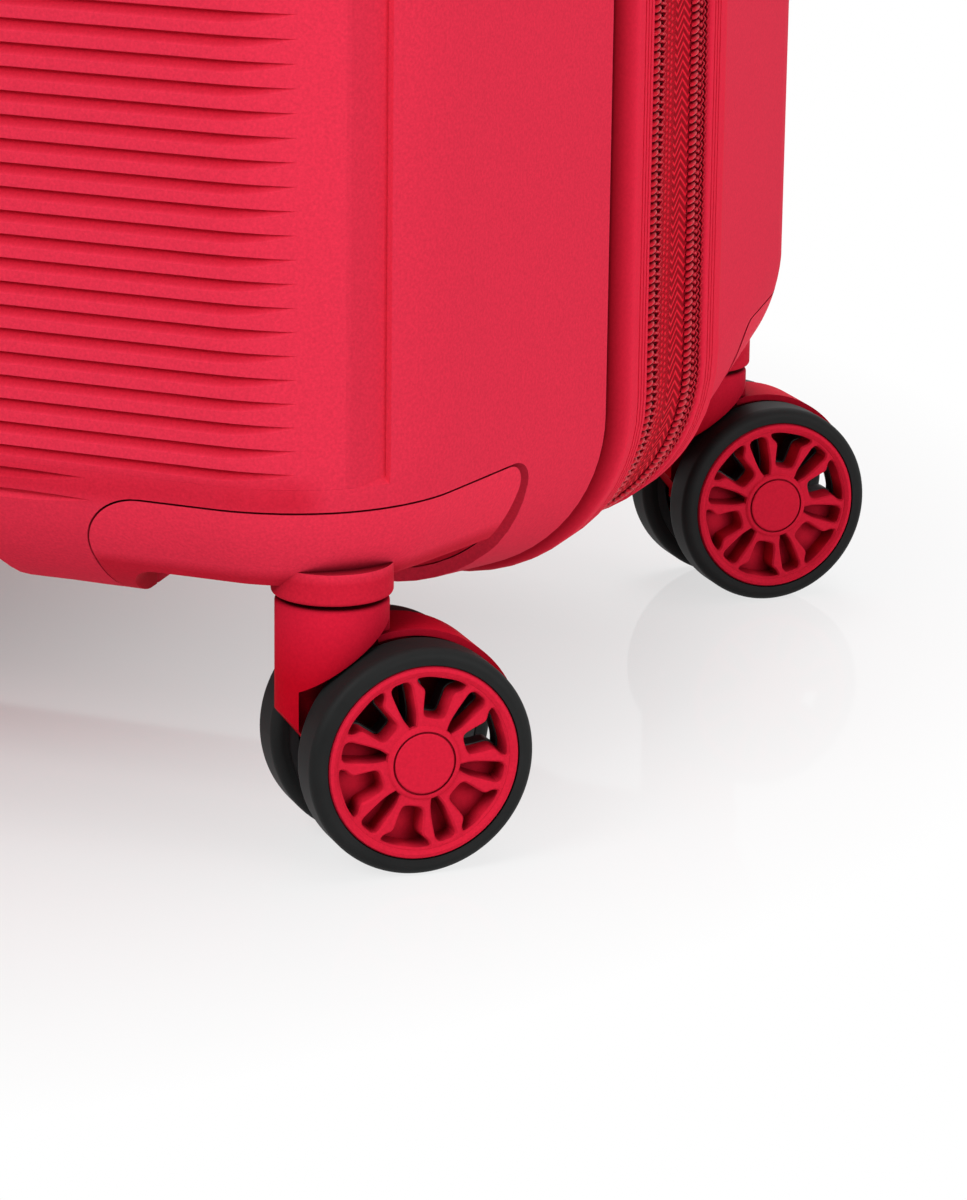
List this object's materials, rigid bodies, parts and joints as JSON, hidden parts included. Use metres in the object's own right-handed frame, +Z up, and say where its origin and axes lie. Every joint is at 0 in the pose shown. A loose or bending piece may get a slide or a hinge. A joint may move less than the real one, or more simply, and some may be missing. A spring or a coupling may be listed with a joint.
{
  "type": "hard shell suitcase",
  "caption": "Upright hard shell suitcase with ribbed drafted half shells, an expandable zipper band, twin-wheel swivel casters, a telescopic handle, carry handles and a combination lock.",
  "frame": {"origin": "on the floor under the middle of the case's bounding box", "axes": "+Z up from the wheels to the top handle, -Y out of the front shell, +X to the right seen from the front"},
  "size_m": [0.4761, 0.2924, 0.6859],
  "materials": {
    "shell": "fine-grained matte red",
    "housing": "fine-grained matte red",
    "trim": "satin red",
    "zipper": "woven red tape and coil",
    "lining": "plain dark polyester",
    "steel": "zinc plated",
    "tyre": "smooth dark rubber",
    "rim": "moulded deep red",
    "fork": "moulded deep red",
    "tube": "anodised",
    "black_plastic": "moulded black",
    "button": "moulded red",
    "dial": "moulded dark grey",
    "zip_metal": "painted red zinc",
    "handle": "soft-touch red"
  },
  "bodies": {
    "rear_case": {"rear_shell": "shell", "rear_trim_frame": "trim", "rear_zipper_half": "zipper", "expansion_gusset": "lining", "rear_lining": "lining", "rear_kingpins": "steel", "rear_left_wheel_housing": "housing", "rear_right_wheel_housing": "housing", "trolley_bezel": "black_plastic", "trolley_base_bracket": "black_plastic", "trolley_outer_tubes": "tube", "handle_mounts": "black_plastic"},
    "mid_band": {"mid_zipper_band": "zipper"},
    "lid": {"front_shell": "shell", "front_trim_frame": "trim", "front_zipper_half": "zipper", "front_lining": "lining", "front_kingpins": "steel", "front_left_wheel_housing": "housing", "front_right_wheel_housing": "housing", "lock_body": "black_plastic"},
    "front_left_caster": {"front_left_caster_fork": "fork", "front_left_axle": "steel"},
    "front_left_outer_wheel": {"front_left_outer_rim": "rim", "front_left_outer_tyre": "tyre"},
    "front_left_inner_wheel": {"front_left_inner_rim": "rim", "front_left_inner_tyre": "tyre"},
    "front_right_caster": {"front_right_caster_fork": "fork", "front_right_axle": "steel"},
    "front_right_outer_wheel": {"front_right_outer_rim": "rim", "front_right_outer_tyre": "tyre"},
    "front_right_inner_wheel": {"front_right_inner_rim": "rim", "front_right_inner_tyre": "tyre"},
    "rear_left_caster": {"rear_left_caster_fork": "fork", "rear_left_axle": "steel"},
    "rear_left_outer_wheel": {"rear_left_outer_rim": "rim", "rear_left_outer_tyre": "tyre"},
    "rear_left_inner_wheel": {"rear_left_inner_rim": "rim", "rear_left_inner_tyre": "tyre"},
    "rear_right_caster": {"rear_right_caster_fork": "fork", "rear_right_axle": "steel"},
    "rear_right_outer_wheel": {"rear_right_outer_rim": "rim", "rear_right_outer_tyre": "tyre"},
    "rear_right_inner_wheel": {"rear_right_inner_rim": "rim", "rear_right_inner_tyre": "tyre"},
    "dial_1": {"lock_dial_1": "dial"},
    "dial_2": {"lock_dial_2": "dial"},
    "dial_3": {"lock_dial_3": "dial"},
    "lock_release": {"lock_button": "button"},
    "upper_slider": {"main_slider_upper": "zip_metal"},
    "upper_pull": {"main_pull_upper": "zip_metal"},
    "lower_slider": {"main_slider_lower": "zip_metal"},
    "lower_pull": {"main_pull_lower": "zip_metal"},
    "expander_runner": {"expander_slider": "zip_metal"},
    "top_handle": {"top_handle_grip": "handle"},
    "side_handle": {"side_handle_grip": "handle"},
    "trolley_middle": {"trolley_middle_tubes": "tube"},
    "trolley_handle": {"trolley_inner_tubes": "tube", "trolley_grip": "black_plastic"},
    "trolley_release": {"trolley_button": "button"}
  },
  "joints": [
    {"name": "expansion", "type": "slide", "parent": "rear_case", "child": "mid_band", "axis": [0, -1, 0], "range_m": [0, 0.04]},
    {"name": "lid_hinge", "type": "hinge", "parent": "mid_band", "child": "lid", "pos_m": [-0.231, -0.0198, 0.358], "axis": [0, 0, -1], "range_deg": [0, 170]},
    {"name": "front_left_swivel", "type": "hinge", "parent": "lid", "child": "front_left_caster", "pos_m": [-0.1951, -0.1215, 0.06], "axis": [0, 0, 1], "continuous": true},
    {"name": "front_left_outer_roll", "type": "hinge", "parent": "front_left_caster", "child": "front_left_outer_wheel", "pos_m": [-0.20561, -0.1118, 0.025], "axis": [-0.6782, -0.7349, 0], "continuous": true},
    {"name": "front_left_inner_roll", "type": "hinge", "parent": "front_left_caster", "child": "front_left_inner_wheel", "pos_m": [-0.20561, -0.1118, 0.025], "axis": [-0.6782, -0.7349, 0], "continuous": true},
    {"name": "front_right_swivel", "type": "hinge", "parent": "lid", "child": "front_right_caster", "pos_m": [0.1951, -0.1215, 0.06], "axis": [0, 0, 1], "continuous": true},
    {"name": "front_right_outer_roll", "type": "hinge", "parent": "front_right_caster", "child": "front_right_outer_wheel", "pos_m": [0.20561, -0.1118, 0.025], "axis": [-0.6782, 0.7349, 0], "continuous": true},
    {"name": "front_right_inner_roll", "type": "hinge", "parent": "front_right_caster", "child": "front_right_inner_wheel", "pos_m": [0.20561, -0.1118, 0.025], "axis": [-0.6782, 0.7349, 0], "continuous": true},
    {"name": "rear_left_swivel", "type": "hinge", "parent": "rear_case", "child": "rear_left_caster", "pos_m": [-0.1951, 0.1065, 0.06], "axis": [0, 0, 1], "continuous": true},
    {"name": "rear_left_outer_roll", "type": "hinge", "parent": "rear_left_caster", "child": "rear_left_outer_wheel", "pos_m": [-0.20561, 0.1162, 0.025], "axis": [-0.6782, -0.7349, 0], "continuous": true},
    {"name": "rear_left_inner_roll", "type": "hinge", "parent": "rear_left_caster", "child": "rear_left_inner_wheel", "pos_m": [-0.20561, 0.1162, 0.025], "axis": [-0.6782, -0.7349, 0], "continuous": true},
    {"name": "rear_right_swivel", "type": "hinge", "parent": "rear_case", "child": "rear_right_caster", "pos_m": [0.1951, 0.1065, 0.06], "axis": [0, 0, 1], "continuous": true},
    {"name": "rear_right_outer_roll", "type": "hinge", "parent": "rear_right_caster", "child": "rear_right_outer_wheel", "pos_m": [0.20561, 0.1162, 0.025], "axis": [-0.6782, 0.7349, 0], "continuous": true},
    {"name": "rear_right_inner_roll", "type": "hinge", "parent": "rear_right_caster", "child": "rear_right_inner_wheel", "pos_m": [0.20561, 0.1162, 0.025], "axis": [-0.6782, 0.7349, 0], "continuous": true},
    {"name": "dial_1_turn", "type": "hinge", "parent": "lid", "child": "dial_1", "pos_m": [0.22076, -0.0681, 0.378], "axis": [0, 0, 1], "continuous": true},
    {"name": "dial_2_turn", "type": "hinge", "parent": "lid", "child": "dial_2", "pos_m": [0.22076, -0.0681, 0.388], "axis": [0, 0, 1], "continuous": true},
    {"name": "dial_3_turn", "type": "hinge", "parent": "lid", "child": "dial_3", "pos_m": [0.22076, -0.0681, 0.398], "axis": [0, 0, 1], "continuous": true},
    {"name": "lock_button_press", "type": "slide", "parent": "lid", "child": "lock_release", "axis": [-0.993, 0.1184, 0], "range_m": [0, 0.0025], "stiffness_N_per_m": 400},
    {"name": "upper_slider_run", "type": "slide", "parent": "mid_band", "child": "upper_slider", "axis": [0, 0, 1], "range_m": [0, 0.15]},
    {"name": "upper_pull_swing", "type": "hinge", "parent": "upper_slider", "child": "upper_pull", "pos_m": [0.23295, -0.0198, 0.455], "axis": [0, -1, 0], "range_deg": [0, 170]},
    {"name": "lower_slider_run", "type": "slide", "parent": "mid_band", "child": "lower_slider", "axis": [0, 0, -1], "range_m": [0, 0.25]},
    {"name": "lower_pull_swing", "type": "hinge", "parent": "lower_slider", "child": "lower_pull", "pos_m": [0.23295, -0.0198, 0.345], "axis": [0, -1, 0], "range_deg": [0, 170]},
    {"name": "expander_slider_run", "type": "slide", "parent": "rear_case", "child": "expander_runner", "axis": [0, 0, 1], "range_m": [-0.13, 0.35]},
    {"name": "top_handle_lift", "type": "slide", "parent": "rear_case", "child": "top_handle", "axis": [0, 0.1184, 0.993], "range_m": [0, 0.016]},
    {"name": "side_handle_lift", "type": "slide", "parent": "rear_case", "child": "side_handle", "axis": [0.993, 0.1184, 0], "range_m": [0, 0.016]},
    {"name": "trolley_lower_stage", "type": "slide", "parent": "rear_case", "child": "trolley_middle", "axis": [0, 0, 1], "range_m": [0, 0.2]},
    {"name": "trolley_upper_stage", "type": "slide", "parent": "trolley_middle", "child": "trolley_handle", "axis": [0, 0, 1], "range_m": [0, 0.2]},
    {"name": "trolley_button_press", "type": "slide", "parent": "trolley_handle", "child": "trolley_release", "axis": [0, 0, -1], "range_m": [0, 0.003], "stiffness_N_per_m": 300}
  ]
}
